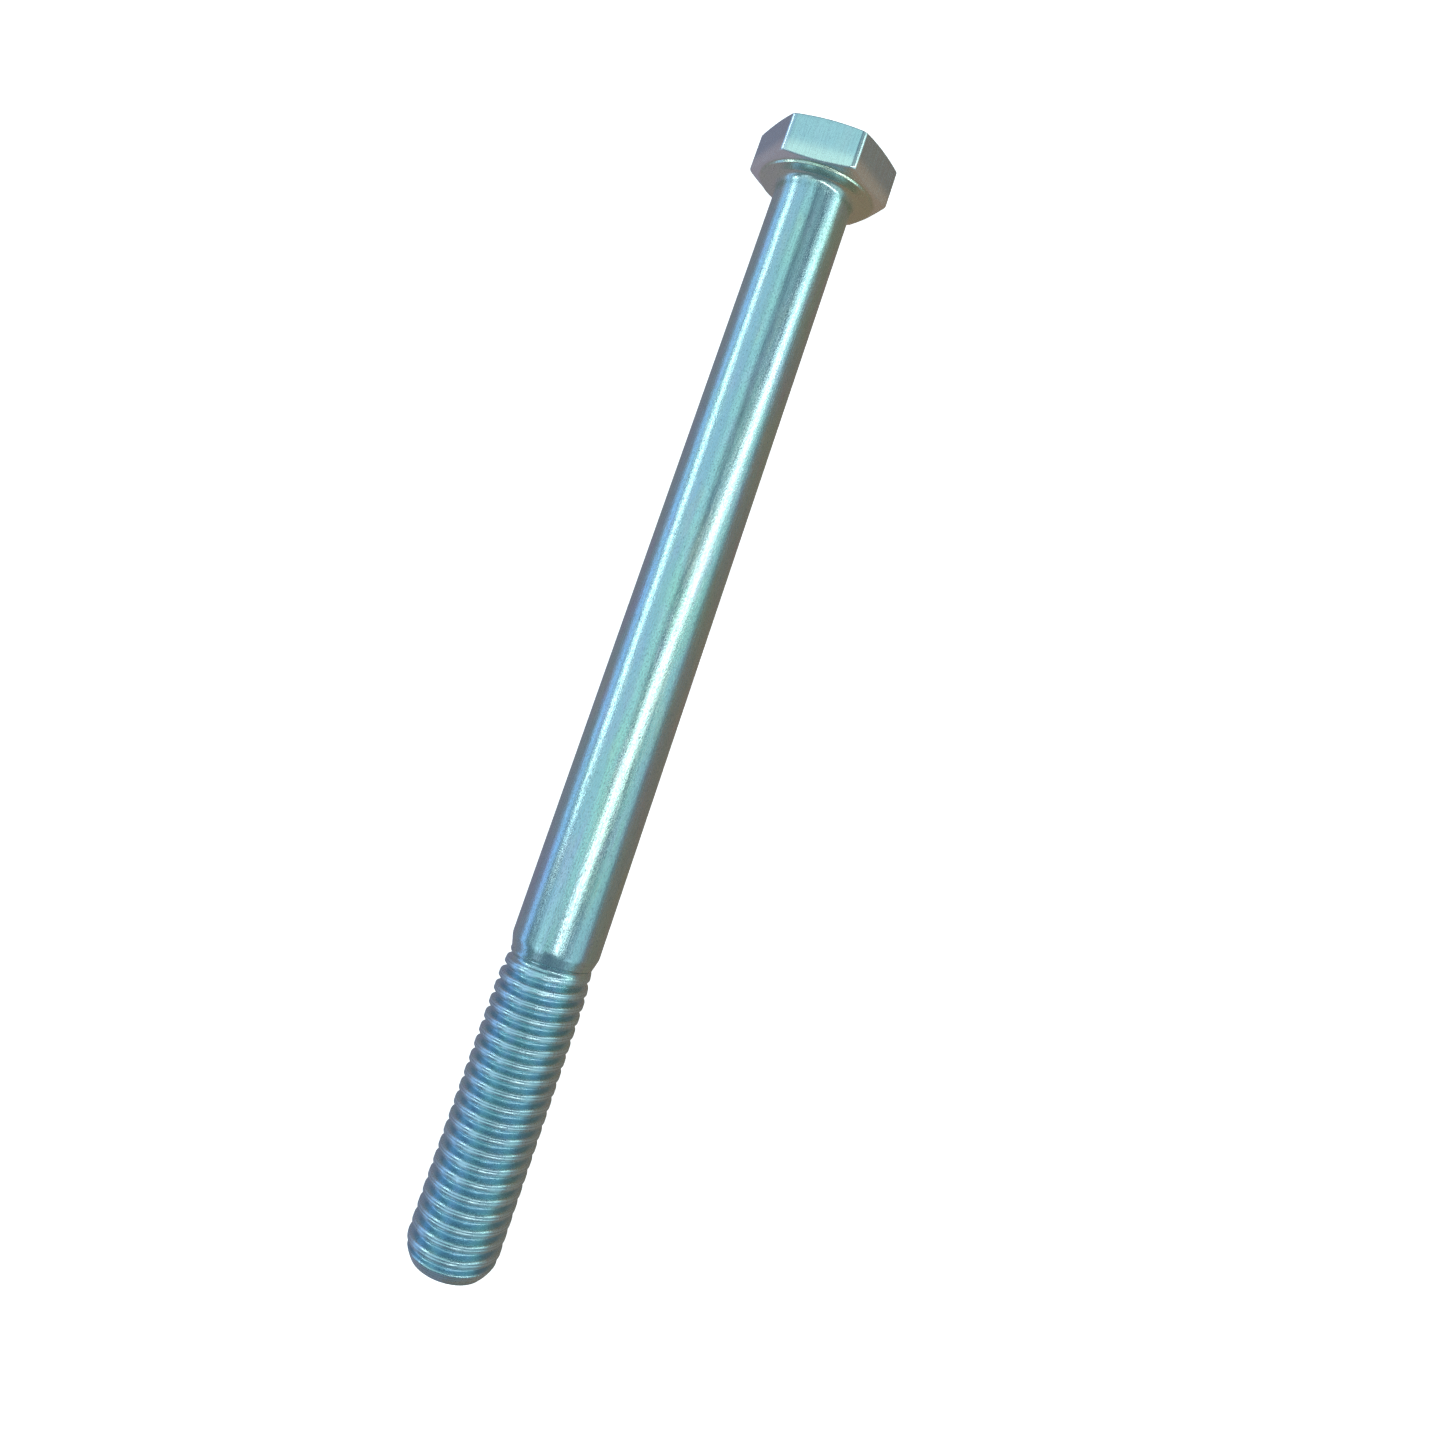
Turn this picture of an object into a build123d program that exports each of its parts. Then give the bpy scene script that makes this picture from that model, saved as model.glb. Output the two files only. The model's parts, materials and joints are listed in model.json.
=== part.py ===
"""Hex bolt M12 x 150, partly threaded, cold forged in one piece from steel wire.

Frame, in millimetres: the bolt lies along X. The origin is on the axis in the plane of the bearing face.
+X runs along the shank to the threaded end, and -X to the top of the head. The head has flats up and down.
"""

import os
from math import ceil, cos, radians, tan

from build123d import *

# Thread: M12 coarse, right-handed
THREAD_D = 12.0  # nominal thread diameter, which the other sizes follow
PITCH = 1.75
THREAD_LENGTH = 36.0  # nominal, measured back from the end, with the run-out in it
CREST_D = THREAD_D - 0.18  # over the crests, inside the tolerance of a plated bolt
ROOT_DEPTH = 0.6134 * PITCH  # from crest to root
FLANK_ANGLE = 30.0  # degrees, each side of a groove
ROOT_FLAT = PITCH / 4 - 0.15  # floor of the groove
OVERSHOOT = 0.1  # how far the groove cutter stands out over the crests, short of the next turn
GROOVE_TURNS = ceil(THREAD_LENGTH / PITCH) + 1  # the last turn leaves through the end

# Lengths along the axis, from the bearing face
LENGTH = 150.0
THREAD_START = LENGTH - THREAD_LENGTH
NECK_LENGTH = 1.2  # plain neck, left by the thread roller
NECK_TAPER = 1.5  # cone from the shank down to the neck
RISE = 2 * PITCH  # cone from the neck up to the first full crest
TIP_CHAMFER = 1.5

# Diameters
SHANK_D = THREAD_D - 0.12
NECK_D = 11.0  # near the pitch diameter, as a rolled thread leaves it
TIP_D = CREST_D - 2 * ROOT_DEPTH - 0.3

# Head
WRENCH_SIZE = 19.0
ACROSS_FLATS = WRENCH_SIZE - 0.25  # inside the tolerance of a 19 mm head
CORNER_RADIUS = 1.0  # of the six corners, as forging leaves them
HEAD_HEIGHT = 7.5
TOP_CIRCLE_D = 0.88 * ACROSS_FLATS
TOP_CHAMFER_ANGLE = 15.0  # degrees from the top face
WASHER_FACE_D = 17.4
WASHER_FACE_HEIGHT = 0.4
UNDER_CHAMFER_ANGLE = 14.0  # degrees from the bearing face
FILLET_RADIUS = 1.2  # under the head


def build_blank():
    """The forging before its thread is rolled: hex head, washer face, shank, neck and thread blank."""
    corner_radius = ACROSS_FLATS / 2 / cos(radians(30))
    envelope_radius = corner_radius + 1
    top_circle_radius = TOP_CIRCLE_D / 2
    washer_radius = WASHER_FACE_D / 2
    top_drop = (envelope_radius - top_circle_radius) * tan(radians(TOP_CHAMFER_ANGLE))
    under_drop = (envelope_radius - washer_radius) * tan(radians(UNDER_CHAMFER_ANGLE))
    neck_start = THREAD_START - NECK_LENGTH

    with BuildPart() as bolt:
        # Hex prism, then both of its ends cut conical
        with BuildSketch(Plane.YZ.offset(-HEAD_HEIGHT)):
            hexagon = RegularPolygon(radius=corner_radius, side_count=6)
            fillet(hexagon.vertices(), CORNER_RADIUS)
        extrude(amount=HEAD_HEIGHT)
        with BuildSketch(Plane.XY):
            with BuildLine():
                Polyline(
                    (-HEAD_HEIGHT, 0),
                    (-HEAD_HEIGHT, top_circle_radius),
                    (-HEAD_HEIGHT + top_drop, envelope_radius),
                    (-WASHER_FACE_HEIGHT - under_drop, envelope_radius),
                    (-WASHER_FACE_HEIGHT, washer_radius),
                    (0, washer_radius),
                    (0, 0),
                    close=True,
                )
            make_face()
        revolve(axis=Axis.X, mode=Mode.INTERSECT)

        # Shank, neck, thread blank and chamfered end
        with BuildSketch(Plane.XY):
            with BuildLine():
                Polyline(
                    (-HEAD_HEIGHT / 2, 0),
                    (-HEAD_HEIGHT / 2, SHANK_D / 2),
                    (neck_start - NECK_TAPER, SHANK_D / 2),
                    (neck_start, NECK_D / 2),
                    (THREAD_START, NECK_D / 2),
                    (THREAD_START + RISE, CREST_D / 2),
                    (LENGTH - TIP_CHAMFER, CREST_D / 2),
                    (LENGTH, TIP_D / 2),
                    (LENGTH, 0),
                    close=True,
                )
            make_face()
        revolve(axis=Axis.X)

        # Fillet between the bearing face and the shank
        under_head = (
            bolt.edges()
            .filter_by(GeomType.CIRCLE)
            .filter_by(lambda e: abs(e.center().X) < 1e-3)
            .sort_by(SortBy.RADIUS)[0]
        )
        fillet(under_head, FILLET_RADIUS)
    return bolt.part


def groove_path():
    """One turn of the helix along the middle of the groove's floor."""
    with BuildLine() as line:
        Helix(
            pitch=PITCH,
            height=PITCH,
            radius=CREST_D / 2 - ROOT_DEPTH,
            center=(THREAD_START, 0, 0),
            direction=(1, 0, 0),
        )
    return line.edges()[0]


def groove_profile(path):
    """The cutter's section at the start of path: a truncated V, opening outwards."""
    start = path.position_at(0)
    depth = ROOT_DEPTH + OVERSHOOT
    mouth = ROOT_FLAT + 2 * depth * tan(radians(FLANK_ANGLE))
    outward = Vector(0, start.Y, start.Z).normalized()
    with BuildSketch(Plane(origin=start, x_dir=outward, z_dir=path.tangent_at(0))) as section:
        with BuildLine():
            Polyline(
                (0, -ROOT_FLAT / 2),
                (depth, -mouth / 2),
                (depth, mouth / 2),
                (0, ROOT_FLAT / 2),
                close=True,
            )
        make_face()
    return section.sketch


def build_groove_turn():
    """One turn of the cutter. It starts bluntly at the neck, where a rolled groove would fade in."""
    path = groove_path()
    profile = groove_profile(path)
    with BuildPart() as groove_turn:
        sweep(profile, path=path, is_frenet=True)
    return groove_turn.part


if __name__ == "__main__":
    os.makedirs("parts", exist_ok=True)
    blank = build_blank()
    groove_turn = build_groove_turn()
    with BuildPart() as hex_bolt:
        add(blank)
        with Locations([(turn * PITCH, 0, 0) for turn in range(GROOVE_TURNS)]):
            add(groove_turn, mode=Mode.SUBTRACT)
    hex_bolt.part.label = "hex_bolt"
    export_step(hex_bolt.part, "parts/hex_bolt.step")
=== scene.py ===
"""Zinc-plated hex bolt lying on a pale floor, seen from above."""

import json
from math import ceil, cos, pi, radians, sin, tan

import bmesh
import bpy
import numpy as np
from mathutils import Matrix, Vector


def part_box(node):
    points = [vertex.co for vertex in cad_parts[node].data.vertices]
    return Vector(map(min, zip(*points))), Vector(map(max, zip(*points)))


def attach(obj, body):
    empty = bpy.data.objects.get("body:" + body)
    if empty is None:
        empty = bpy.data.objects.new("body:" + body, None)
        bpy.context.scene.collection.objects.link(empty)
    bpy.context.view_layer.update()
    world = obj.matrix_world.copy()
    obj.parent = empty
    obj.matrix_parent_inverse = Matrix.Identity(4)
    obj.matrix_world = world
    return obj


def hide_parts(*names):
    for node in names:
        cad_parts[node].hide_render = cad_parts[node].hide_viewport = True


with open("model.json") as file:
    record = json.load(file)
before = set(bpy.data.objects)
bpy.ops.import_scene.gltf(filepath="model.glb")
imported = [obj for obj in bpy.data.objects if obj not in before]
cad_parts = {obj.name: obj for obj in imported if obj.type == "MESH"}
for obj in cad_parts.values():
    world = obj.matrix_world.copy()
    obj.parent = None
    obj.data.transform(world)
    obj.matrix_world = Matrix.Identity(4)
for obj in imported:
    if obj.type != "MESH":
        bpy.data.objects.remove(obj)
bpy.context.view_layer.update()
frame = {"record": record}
MM = 0.001

# The bolt's sizes in millimetres, from the frame where it gives them. The rest repeat the CAD's, except for the
# thread's section, the rounded end and the corner roundings, which only the visual mesh has.
low, high = (Vector(corner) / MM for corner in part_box("hex_bolt"))
mounts = {mount["name"]: mount for mount in frame["record"]["mounts"]}
HEAD_HEIGHT = -low.x
LENGTH = high.x
APOTHEM = high.z
SHANK_R = mounts["shank"]["dims"]["r_mm"]
CREST_R = mounts["thread"]["dims"]["r_mm"]
THREAD_START = LENGTH - mounts["thread"]["dims"]["length_mm"]
PITCH = 1.75
ROOT_DEPTH = 0.6134 * PITCH
NECK_R = 5.5
NECK_LENGTH = 1.2
NECK_START = THREAD_START - NECK_LENGTH
NECK_TAPER = 1.5
RISE = 2 * PITCH
TIP_DROP = ROOT_DEPTH + 0.15
TIP_ROUNDING = 2.6
MARKED_CREST_X = 2.28  # from the thread's start to the crest at the angle below
MARKED_CREST_ANGLE = radians(171.85)
FLANK_RISE = 0.60  # how far over the crest the flanks would meet
FLANK_SLOPE = tan(radians(60))
CREST_ROUNDING = 0.10
ROOT_LIFT = 0.15
ROOT_ROUNDING = 0.26
TOP_CIRCLE_R = 0.88 * APOTHEM
TOP_SLOPE = tan(radians(15))
WASHER_R = 8.7
WASHER_HEIGHT = 0.4
UNDER_SLOPE = tan(radians(14))
FILLET = 1.2
HEX_CORNER_ROUNDING = 0.6
ROLLED_LINE = 0.32  # from one line round the crest to the next

# Stage, in metres
LIGHT_DISTANCE = 0.6
FLOOR_SIZE = 6
PALE = (0.93, 0.93, 0.93, 1)
COOL_BENCH = (0.125, 0.11, 0.135, 1)
WARM_BENCH = (0.122, 0.088, 0.064, 1)

# Mesh density
FILLET_STEPS = 8
COLUMNS_PER_FLAT = 28
ROWS_PER_PITCH = 16
TURN = 2 * pi


def smooth_min(a, b, width):
    """The smaller of a and b, with their meeting rounded over width."""
    h = np.clip(0.5 + 0.5 * (b - a) / width, 0, 1)
    return b + (a - b) * h - width * h * (1 - h)


def smooth_max(a, b, width):
    """The larger of a and b, with their meeting rounded over width."""
    return -smooth_min(-a, -b, width)


def smooth_step(x, start, end):
    """0 before start and 1 past end, with an even rise between them."""
    t = np.clip((x - start) / (end - start), 0, 1)
    return t * t * (3 - 2 * t)


def column_angles():
    """Angles about +X from +Y, crowded towards the six corners of the head, the first of which is on +Y."""
    across = np.sin(pi * (np.arange(COLUMNS_PER_FLAT) / COLUMNS_PER_FLAT - 0.5))
    one_flat = radians(30) * (1 + across)
    return np.concatenate([one_flat + radians(60) * flat for flat in range(6)])


def hexagon_radius(angles):
    """Distance from the axis to the hexagon's side at each angle, with rounded corners."""
    from_middle = (angles % radians(60)) - radians(30)
    this_side = APOTHEM / np.cos(from_middle)
    next_side = APOTHEM / np.cos(radians(60) - np.abs(from_middle))
    return smooth_min(this_side, next_side, HEX_CORNER_ROUNDING)


def along(start, end, count):
    """Points from start towards end, start left out."""
    return [start + (end - start) * (step + 1) / count for step in range(count)]


def rounded_path(stations, arc_steps=4):
    """Profile rows through the stations (point per column, corner rounding, rows up to it), corners rounded."""
    rows = [stations[0][0]]
    for index in range(1, len(stations)):
        corner, rounding, count = stations[index]
        before = stations[index - 1][0]
        if index == len(stations) - 1 or rounding == 0:
            rows += along(rows[-1], corner, count)
            continue
        after = stations[index + 1][0]
        towards_before = before - corner
        towards_after = after - corner
        length_before = np.linalg.norm(towards_before, axis=1, keepdims=True)
        length_after = np.linalg.norm(towards_after, axis=1, keepdims=True)
        reach = np.minimum(rounding, 0.45 * np.minimum(length_before, length_after))
        enter = corner + towards_before / length_before * reach
        leave = corner + towards_after / length_after * reach
        rows += along(rows[-1], enter, count)
        for step in range(1, arc_steps + 1):
            t = step / arc_steps
            rows.append((1 - t) ** 2 * enter + 2 * t * (1 - t) * corner + t * t * leave)
    return rows


def head_and_shank_rows(angles):
    """Rows of (x, radius), one per column, from the middle of the head's top to the start of the thread."""
    side = hexagon_radius(angles)
    ones = np.ones_like(side)

    def ring(x, radius):
        return np.stack([x * ones, radius * ones], axis=1)

    top_edge = ring(-HEAD_HEIGHT + (side - TOP_CIRCLE_R) * TOP_SLOPE, side)
    under_edge = ring(-WASHER_HEIGHT - (side - WASHER_R) * UNDER_SLOPE, side)
    head = [
        (ring(-HEAD_HEIGHT, 0.02), 0, 1),
        (ring(-HEAD_HEIGHT, TOP_CIRCLE_R), 0.25, 9),
        (top_edge, 0.14, 4),
        (under_edge, 0.40, 9),
        (ring(-WASHER_HEIGHT, WASHER_R), 0.10, 3),
        (ring(0, WASHER_R), 0.12, 2),
        (ring(0, SHANK_R + FILLET), 0, 3),
    ]
    rows = rounded_path(head)
    for step in range(1, FILLET_STEPS + 1):
        turn = pi / 2 * step / FILLET_STEPS
        rows.append(ring(FILLET * (1 - cos(turn)), SHANK_R + FILLET * (1 - sin(turn))))
    shank = [
        (rows[-1], 0, 1),
        (ring(2.5, SHANK_R), 0, 4),
        (ring(NECK_START - NECK_TAPER - 1, SHANK_R), 0, 44),
        (ring(NECK_START - NECK_TAPER, SHANK_R), 0.25, 4),
        (ring(NECK_START, NECK_R), 0, 5),
    ]
    return rows + rounded_path(shank)[1:]


def distance_from_crest(x, angles):
    """Signed distance along the bolt from the nearest turn of the crest, in millimetres."""
    crest_offset = MARKED_CREST_X - PITCH * MARKED_CREST_ANGLE / TURN
    phase = (x - THREAD_START - crest_offset) / PITCH - angles / TURN
    return ((phase + 0.5) % 1 - 0.5) * PITCH


def thread_radius(x, angles):
    """Radius of the rolled thread: broad flat crests, round roots, a run-out at the neck and a rounded end."""
    from_crest = np.abs(distance_from_crest(x, angles))
    root = CREST_R - ROOT_DEPTH + 0 * x
    sharp = CREST_R + FLANK_RISE - from_crest * FLANK_SLOPE
    ridge = smooth_min(sharp, CREST_R + 0 * x, CREST_ROUNDING)
    ridge = smooth_max(ridge, root + ROOT_LIFT, ROOT_ROUNDING)
    envelope = NECK_R + (CREST_R - NECK_R) * np.clip((x - NECK_START) / RISE, 0, 1)
    groove = (CREST_R - ridge) * smooth_step(x, NECK_START - 0.2 * PITCH, NECK_START + 1.1 * PITCH)
    body = np.maximum(envelope - groove, root)
    past = np.clip(x - (LENGTH - TIP_ROUNDING), 0, TIP_ROUNDING) / TIP_ROUNDING
    tip = CREST_R - TIP_DROP * past**2
    return np.where(x < LENGTH - 1e-6, smooth_min(body, tip, 0.05), CREST_R - TIP_DROP)


def groove_share(x, angles):
    """1 in the groove of the thread, 0 on its crests and off the thread."""
    in_groove = smooth_step(np.abs(distance_from_crest(x, angles)), 0.38, 0.60)
    return in_groove * smooth_step(x, NECK_START, NECK_START + 2 * PITCH)


def crest_share(x, angles):
    """1 on the crests of the thread, 0 in its groove and off the thread."""
    on_crest = 1 - smooth_step(np.abs(distance_from_crest(x, angles)), 0.30, 0.42)
    return on_crest * smooth_step(x, NECK_START, NECK_START + PITCH)


def head_wear(x, radius, angles):
    """How rubbed the head is: most along its corners and along the lower edge of its flats."""
    on_head = smooth_step(-x, -0.1, 0.3)
    from_middle = np.abs((angles % radians(60)) - radians(30))
    corner = smooth_step(from_middle, radians(28.2), radians(30))
    lower_edge = smooth_step(x, -3.6, -1.6)
    on_side = smooth_step(radius, WASHER_R + 0.1, WASHER_R + 0.4)
    return on_head * on_side * np.maximum(corner, 0.95 * lower_edge)


def build_bolt():
    """The bolt as one closed mesh. Its thread rows follow the helix, so crests and roots lie along edges."""
    angles = column_angles()
    columns = len(angles)
    points = []
    marks = {"crest": [], "groove": [], "place_on_turn": [], "wear": []}

    def add_row(x, radius, **row_marks):
        for column in range(columns):
            angle = angles[column]
            points.append((x[column] * MM, radius[column] * cos(angle) * MM, radius[column] * sin(angle) * MM))
        for name, values in marks.items():
            values += list(row_marks.get(name, np.zeros(columns)))

    rows = head_and_shank_rows(angles)
    for row in rows:
        add_row(row[:, 0], row[:, 1], wear=head_wear(row[:, 0], row[:, 1], angles))
    faces = []
    for row in range(len(rows) - 1):
        for column in range(columns):
            beside = (column + 1) % columns
            a, b = row * columns, (row + 1) * columns
            faces.append((a + column, a + beside, b + beside, b + column))
    faces.append(tuple(reversed(range(columns))))

    # Thread: the grid is sheared by one pitch a turn, so its last column meets the first one pitch further on
    base = len(points)
    thread_rows = ROWS_PER_PITCH * (ceil((LENGTH - NECK_START) / PITCH) + 1) + 1
    for row in range(thread_rows):
        start = NECK_START + (row / ROWS_PER_PITCH - 1) * PITCH
        x = np.clip(start + PITCH * angles / TURN, NECK_START, LENGTH)
        thread_marks = {
            "crest": crest_share(x, angles),
            "groove": groove_share(x, angles),
            "place_on_turn": distance_from_crest(x, angles),
        }
        add_row(x, thread_radius(x, angles), **thread_marks)
    for row in range(thread_rows - 1):
        for column in range(columns):
            shift = ROWS_PER_PITCH if column == columns - 1 else 0
            beside = (column + 1) % columns
            if row + 1 + shift >= thread_rows:
                continue
            a = base + row * columns + column
            b = base + (row + 1) * columns + column
            c = base + (row + 1 + shift) * columns + beside
            d = base + (row + shift) * columns + beside
            faces.append((a, d, c, b))

    mesh = bpy.data.meshes.new("hex_bolt_body")
    mesh.from_pydata(points, [], faces)
    for name, values in marks.items():
        mesh.attributes.new(name, "FLOAT", "POINT").data.foreach_set("value", values)
    work = bmesh.new()
    work.from_mesh(mesh)
    bmesh.ops.remove_doubles(work, verts=work.verts, dist=1e-7)
    bmesh.ops.dissolve_degenerate(work, edges=work.edges, dist=1e-8)
    rim = [edge for edge in work.edges if edge.is_boundary]
    bmesh.ops.holes_fill(work, edges=rim, sides=0)
    bmesh.ops.recalc_face_normals(work, faces=work.faces)
    work.to_mesh(mesh)
    work.free()
    mesh.shade_smooth()
    piece = bpy.data.objects.new("hex_bolt_body", mesh)
    bpy.context.scene.collection.objects.link(piece)
    weighted = piece.modifiers.new("even_shading", "WEIGHTED_NORMAL")
    weighted.keep_sharp = True
    return piece


class Nodes:
    """A short way to add and join the shader nodes of a material or world."""

    def __init__(self, owner):
        owner.use_nodes = True
        self.tree = owner.node_tree
        self.tree.nodes.clear()

    def add(self, kind, inputs=None, **settings):
        node = self.tree.nodes.new(kind)
        for key, value in settings.items():
            setattr(node, key, value)
        for key, value in (inputs or {}).items():
            if isinstance(value, bpy.types.NodeSocket):
                self.tree.links.new(value, node.inputs[key])
            else:
                node.inputs[key].default_value = value
        return node

    def noise(self, where, scale, detail=3.0, roughness=0.55):
        inputs = {"Vector": where, "Scale": scale, "Detail": detail, "Roughness": roughness}
        return self.add("ShaderNodeTexNoise", inputs).outputs["Fac"]

    def stretched(self, where, scale):
        return self.add("ShaderNodeMapping", {"Vector": where, "Scale": scale}).outputs["Vector"]

    def ranged(self, value, old, new):
        inputs = {"Value": value, "From Min": old[0], "From Max": old[1], "To Min": new[0], "To Max": new[1]}
        return self.add("ShaderNodeMapRange", inputs).outputs["Result"]

    def mix(self, share, a, b, blend="MIX"):
        node = self.add("ShaderNodeMix", data_type="RGBA", blend_type=blend)
        for index, value in ((0, share), (6, a), (7, b)):
            if isinstance(value, bpy.types.NodeSocket):
                self.tree.links.new(value, node.inputs[index])
            else:
                node.inputs[index].default_value = value
        return node.outputs[2]

    def maths(self, operation, a, b):
        node = self.add("ShaderNodeMath", {0: a, 1: b}, operation=operation)
        return node.outputs[0]


def zinc_material():
    """Bright zinc under a blue passivation film, with fine spangle grain and draw marks along the bolt."""
    material = bpy.data.materials.new("zinc_blue_passivated")
    nodes = Nodes(material)
    place = nodes.add("ShaderNodeTexCoord").outputs["Object"]
    crest = nodes.add("ShaderNodeAttribute", attribute_name="crest").outputs["Fac"]
    groove = nodes.add("ShaderNodeAttribute", attribute_name="groove").outputs["Fac"]
    wear = nodes.add("ShaderNodeAttribute", attribute_name="wear").outputs["Fac"]
    on_turn = nodes.add("ShaderNodeAttribute", attribute_name="place_on_turn").outputs["Fac"]
    along_bolt = nodes.add("ShaderNodeSeparateXYZ", {"Vector": place}).outputs["X"]

    # The film's colour drifts between blue, teal, lavender and straw with its thickness
    drawn = nodes.stretched(place, (0.22, 1, 1))
    film = nodes.ranged(nodes.noise(drawn, 240, 2.0), (0.38, 0.62), (0, 1))
    colour = nodes.mix(film, (0.54, 0.74, 0.80, 1), (0.55, 0.78, 0.72, 1))
    lavender = nodes.ranged(nodes.noise(drawn, 520, 3.0), (0.50, 0.72), (0, 0.6))
    colour = nodes.mix(lavender, colour, (0.64, 0.66, 0.82, 1))
    straw = nodes.ranged(nodes.noise(drawn, 380, 2.0), (0.56, 0.75), (0, 0.5))
    colour = nodes.mix(straw, colour, (0.76, 0.80, 0.64, 1))
    on_head = nodes.ranged(along_bolt, (-0.0009, -0.0014), (0, 1))
    colour = nodes.mix(nodes.maths("MULTIPLY", on_head, 0.75), colour, (0.60, 0.72, 0.82, 1))
    under_head = nodes.ranged(along_bolt, (0.0012, 0.0002), (0, 0.7))
    under_head = nodes.maths("MULTIPLY", under_head, nodes.maths("SUBTRACT", 1.0, on_head))
    colour = nodes.mix(under_head, colour, (0.86, 0.88, 0.66, 1))

    # Spangle: dark and light grains about 0.15 mm across
    grain = nodes.noise(nodes.stretched(place, (0.6, 1, 1)), 5200, 2.0, 0.6)
    on_thread = nodes.maths("MAXIMUM", crest, groove)
    coarse = nodes.ranged(nodes.maths("MAXIMUM", on_head, on_thread), (0, 1), (1, 0.12))
    dark_grain = nodes.maths("MULTIPLY", nodes.ranged(grain, (0.54, 0.70), (0, 0.5)), coarse)
    colour = nodes.mix(dark_grain, colour, (0.20, 0.27, 0.30, 1))
    pale_grain = nodes.maths("MULTIPLY", nodes.ranged(grain, (0.42, 0.28), (0, 0.4)), coarse)
    colour = nodes.mix(pale_grain, colour, (0.92, 0.96, 0.96, 1))

    # The film is bluer on the thread and thinnest on rubbed edges, and the thread's roots are darkened with
    # painted shade
    colour = nodes.mix(nodes.ranged(crest, (0, 1), (0, 0.65)), colour, (0.66, 0.84, 0.96, 1))
    # Painted shade: the colour is darkened in the roots of the thread
    colour = nodes.mix(nodes.ranged(groove, (0, 1), (0, 0.50)), colour, (0.34, 0.56, 0.74, 1))
    colour = nodes.mix(wear, colour, (0.94, 0.99, 0.96, 1))

    # Relief: grain, draw marks, and the rolled lines round the crests, with painted shade in the colour along
    # the rolled lines' troughs
    streaks = nodes.noise(nodes.stretched(place, (0.05, 1, 1)), 5200, 2.0)
    roughness = nodes.ranged(nodes.maths("ADD", grain, streaks), (0.7, 1.3), (0.16, 0.34))
    roughness = nodes.maths("ADD", roughness, nodes.ranged(on_thread, (0, 1), (0, 0.08)))
    lines = nodes.maths("SINE", nodes.maths("MULTIPLY", on_turn, TURN / ROLLED_LINE), 0.0)
    broken = nodes.ranged(nodes.noise(place, 420, 2.0), (0.35, 0.6), (0.45, 1))
    lines = nodes.maths("MULTIPLY", nodes.maths("MULTIPLY", lines, broken), crest)
    # Painted shade: the colour is darkened in the troughs of the rolled lines on the crests
    colour = nodes.mix(nodes.ranged(lines, (-0.1, -0.8), (0, 0.6)), colour, (0.24, 0.40, 0.46, 1))
    relief = nodes.maths("ADD", grain, nodes.maths("MULTIPLY", streaks, 0.6))
    relief = nodes.maths("MULTIPLY", relief, coarse)
    fine = nodes.add("ShaderNodeBump", {"Height": relief, "Strength": 0.42, "Distance": 0.00003})
    rolled = {"Height": lines, "Strength": 1.0, "Distance": 0.000016, "Normal": fine.outputs["Normal"]}
    rolled_bump = nodes.add("ShaderNodeBump", rolled)
    waves = nodes.noise(nodes.stretched(place, (0.15, 1, 1)), 300, 1.0)
    gentle = {"Height": waves, "Strength": 0.06, "Distance": 0.0001, "Normal": rolled_bump.outputs["Normal"]}
    bump = nodes.add("ShaderNodeBump", gentle)

    shader = nodes.add("ShaderNodeBsdfPrincipled", {
        "Base Color": colour,
        "Metallic": 1.0,
        "Roughness": roughness,
        "Normal": bump.outputs["Normal"],
    })
    nodes.add("ShaderNodeOutputMaterial", {"Surface": shader.outputs[0]})
    return material


def plain_material(name, colour, glow):
    """A matt material that glows in its own colour, for the floor and the cards."""
    material = bpy.data.materials.new(name)
    nodes = Nodes(material)
    inputs = {"Base Color": colour, "Roughness": 0.9, "Emission Color": colour, "Emission Strength": glow}
    shader = nodes.add("ShaderNodeBsdfPrincipled", inputs)
    nodes.add("ShaderNodeOutputMaterial", {"Surface": shader.outputs[0]})
    return material


def stage_plane(name, size, place, tilt, material):
    """A square of the stage, turned about +Y by tilt."""
    mesh = bpy.data.meshes.new(name)
    half = size / 2
    corners = [(-half, -half, 0), (half, -half, 0), (half, half, 0), (-half, half, 0)]
    mesh.from_pydata(corners, [], [(0, 1, 2, 3)])
    mesh.materials.append(material)
    plane = bpy.data.objects.new(name, mesh)
    plane.location = place
    plane.rotation_euler = (0, tilt, 0)
    bpy.context.scene.collection.objects.link(plane)
    return plane


def build_floor():
    """A pale floor that touches the head's lower flat and the thread's end, so it leans a little.

    Polished metal would mirror the floor as white edges, so two darker cards stand in for it in reflections.
    """
    rise = APOTHEM - CREST_R
    run = LENGTH - TIP_ROUNDING + WASHER_HEIGHT
    tilt = -np.arctan2(rise, run)
    place = Vector((0, 0, -APOTHEM * MM))
    floor = stage_plane("floor", FLOOR_SIZE, place, tilt, plain_material("pale_floor", PALE, 0.95))
    floor.visible_glossy = False
    half = FLOOR_SIZE / 2
    below = 0.001
    for name, side, colour in (("bench_left", -1, COOL_BENCH), ("bench_right", 1, WARM_BENCH)):
        beside = place + Vector((0, side * half, -below))
        card = stage_plane(name, FLOOR_SIZE, beside, tilt, plain_material(name, colour, 1.0))
        card.visible_camera = False
        card.visible_diffuse = False
        card.visible_shadow = False


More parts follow.
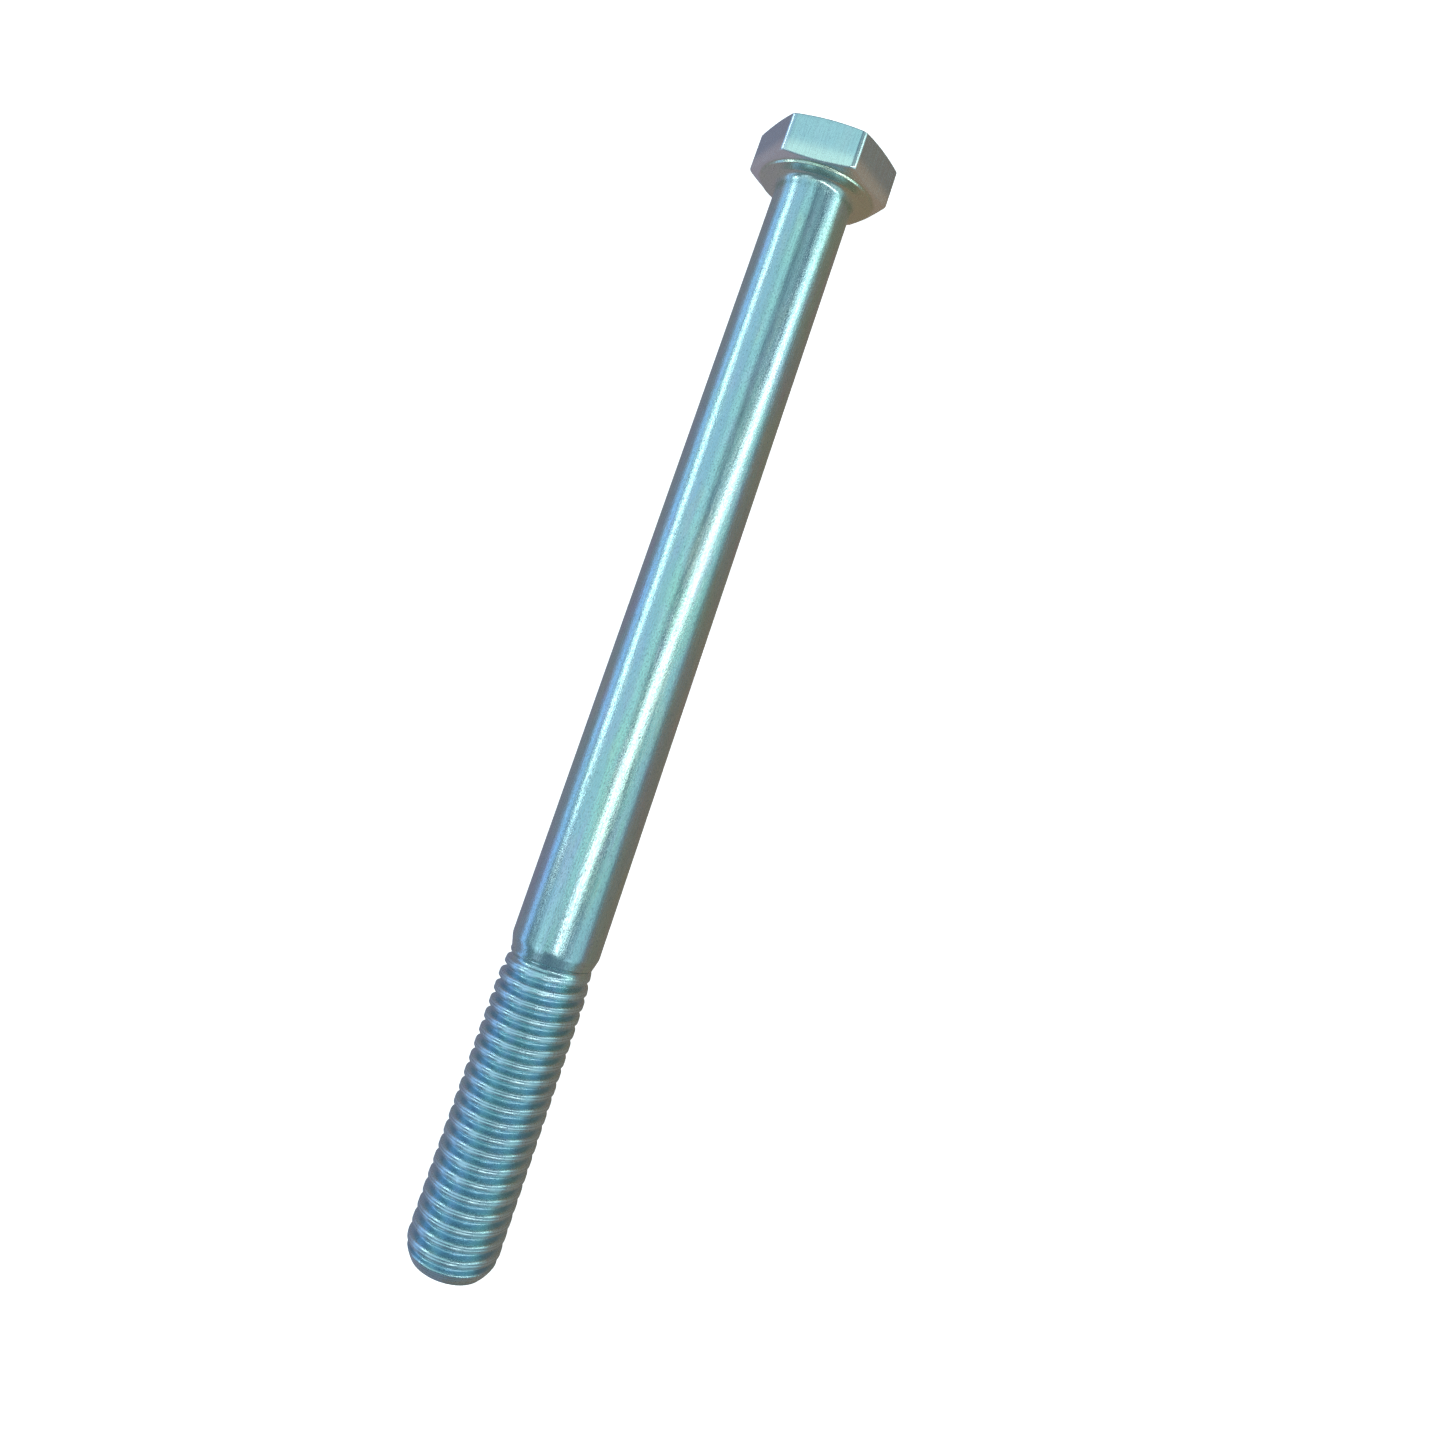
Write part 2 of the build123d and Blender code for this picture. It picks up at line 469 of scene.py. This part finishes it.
def strip_light(name, at_head, at_thread, width, colour, power, ends=(-0.62, 0.66)):
    """A soft strip over the bolt. Its angles, from overhead towards +Y, are those at its two ends, in degrees.

    ends are its ends along the bolt in metres, and width is how wide it looks from the bolt, in degrees.
    """
    corners = []
    for x, angle in zip(ends, (at_head, at_thread)):
        corners.append(Vector((x, LIGHT_DISTANCE * sin(radians(angle)), LIGHT_DISTANCE * cos(radians(angle)))))
    start, end = corners
    centre = (start + end) / 2
    lengthwise = (end - start).normalized()
    away = centre - Vector((centre.x, 0, 0))
    away = (away - away.dot(lengthwise) * lengthwise).normalized()
    across = away.cross(lengthwise)
    light = bpy.data.lights.new(name, "AREA")
    light.shape = "RECTANGLE"
    light.size = (end - start).length
    light.size_y = 2 * LIGHT_DISTANCE * tan(radians(width / 2))
    light.color = colour
    light.energy = power * light.size * light.size_y * 4
    holder = bpy.data.objects.new(name, light)
    turned = Matrix((lengthwise, across, away)).transposed().to_4x4()
    holder.matrix_world = Matrix.Translation(centre) @ turned
    holder.visible_camera = False
    bpy.context.scene.collection.objects.link(holder)


def build_lights():
    """Keys and soft fills side by side over the bolt, which shows them as bands along its shank."""
    strip_light("blue_left", -88, -88, 26, (0.26, 0.46, 0.80), 0.95)
    strip_light("key_left", -61, -58, 8, (0.76, 0.98, 1.0), 3.0, (-0.45, 0.18))
    strip_light("sky_left", -34, -34, 28, (0.42, 0.64, 0.74), 0.60)
    strip_light("overhead", -4, -9, 22, (0.46, 0.76, 0.70), 0.72, (-0.62, 0.26))
    strip_light("fill_right", 30, 22, 16, (0.44, 0.66, 0.60), 0.36)
    strip_light("key_right_head", 98, 66, 8, (0.74, 1.0, 0.88), 1.5, (-0.45, -0.18))
    strip_light("key_right", 66, 8, 6, (0.92, 1.0, 0.96), 3.6, (-0.18, 0.27))
    strip_light("thread_left", -33, -33, 14, (0.62, 0.78, 0.90), 0.50, (0.26, 0.62))
    strip_light("thread_right", 48, 48, 14, (0.60, 0.82, 0.86), 0.50, (0.26, 0.62))
    strip_light("green_right", 70, 66, 30, (0.38, 0.62, 0.60), 0.60)


def build_world():
    """A dim blue sky for the bolt to reflect, behind a pale backdrop that only shows directly."""
    world = bpy.data.worlds.new("studio")
    nodes = Nodes(world)
    sky = nodes.add("ShaderNodeBackground", {"Color": (0.26, 0.40, 0.50, 1), "Strength": 0.5})
    backdrop = nodes.add("ShaderNodeBackground", {"Color": PALE, "Strength": 1.0})
    seen = nodes.add("ShaderNodeLightPath").outputs["Is Camera Ray"]
    both = nodes.add("ShaderNodeMixShader", {0: seen, 1: sky.outputs[0], 2: backdrop.outputs[0]})
    nodes.add("ShaderNodeOutputWorld", {"Surface": both.outputs[0]})
    bpy.context.scene.world = world


def build_camera():
    """Overhead view, with the head at the upper right and the thread towards the lower left."""
    place = Vector((75.19, 22.33, 154.49)) * MM
    looks_at = Vector((43.7, 1.96, 0.0)) * MM
    image_up = Vector((-0.9286, -0.2969, 0.2225))
    backward = (place - looks_at).normalized()
    right = image_up.cross(backward).normalized()
    up = backward.cross(right)
    lens = bpy.data.cameras.new("camera")
    lens.sensor_width = 36
    lens.lens = 27.88
    lens.shift_x = -0.0087
    lens.shift_y = -0.1745
    lens.clip_start = 0.005
    camera = bpy.data.objects.new("camera", lens)
    camera.matrix_world = Matrix.Translation(place) @ Matrix((right, up, backward)).transposed().to_4x4()
    bpy.context.scene.collection.objects.link(camera)
    bpy.context.scene.camera = camera


bolt = build_bolt()
bolt.data.materials.append(zinc_material())
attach(bolt, "root")
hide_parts("hex_bolt")
build_floor()
build_lights()
build_world()
build_camera()
bpy.context.scene.view_settings.view_transform = "Standard"
